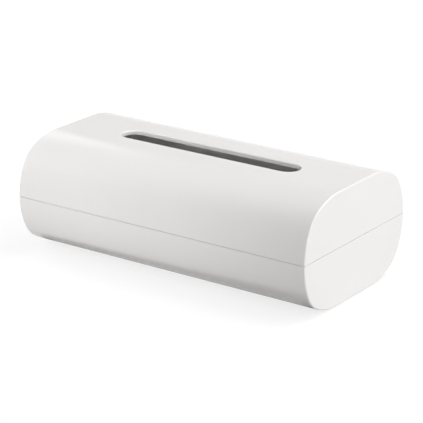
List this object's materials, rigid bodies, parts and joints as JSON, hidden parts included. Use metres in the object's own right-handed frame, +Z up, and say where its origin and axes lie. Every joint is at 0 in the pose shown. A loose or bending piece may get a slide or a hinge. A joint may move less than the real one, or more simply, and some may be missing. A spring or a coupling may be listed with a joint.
{
  "type": "tissue box holder",
  "caption": "Rigid moulded holder for a flat carton of tissues: a long rounded box with flat ends, a lift-off cover that meets the base in a fine seam, and a long round-ended slot in the top.",
  "frame": {"origin": "on the table, under the middle of the body", "axes": "+X along the body and its slot, +Z up, -Y is the front"},
  "size_m": [0.265, 0.141, 0.0902],
  "materials": {
    "shell_plastic": "glossy moulded white",
    "foot_rubber": "soft matt grey"
  },
  "bodies": {
    "base": {"base": "shell_plastic", "foot_front_left": "foot_rubber", "foot_front_right": "foot_rubber", "foot_back_left": "foot_rubber", "foot_back_right": "foot_rubber"},
    "cover": {"cover": "shell_plastic"}
  },
  "joints": [
    {"name": "cover_lift", "type": "slide", "parent": "base", "child": "cover", "axis": [0, 0, 1], "range_m": [0, 0.08]}
  ]
}
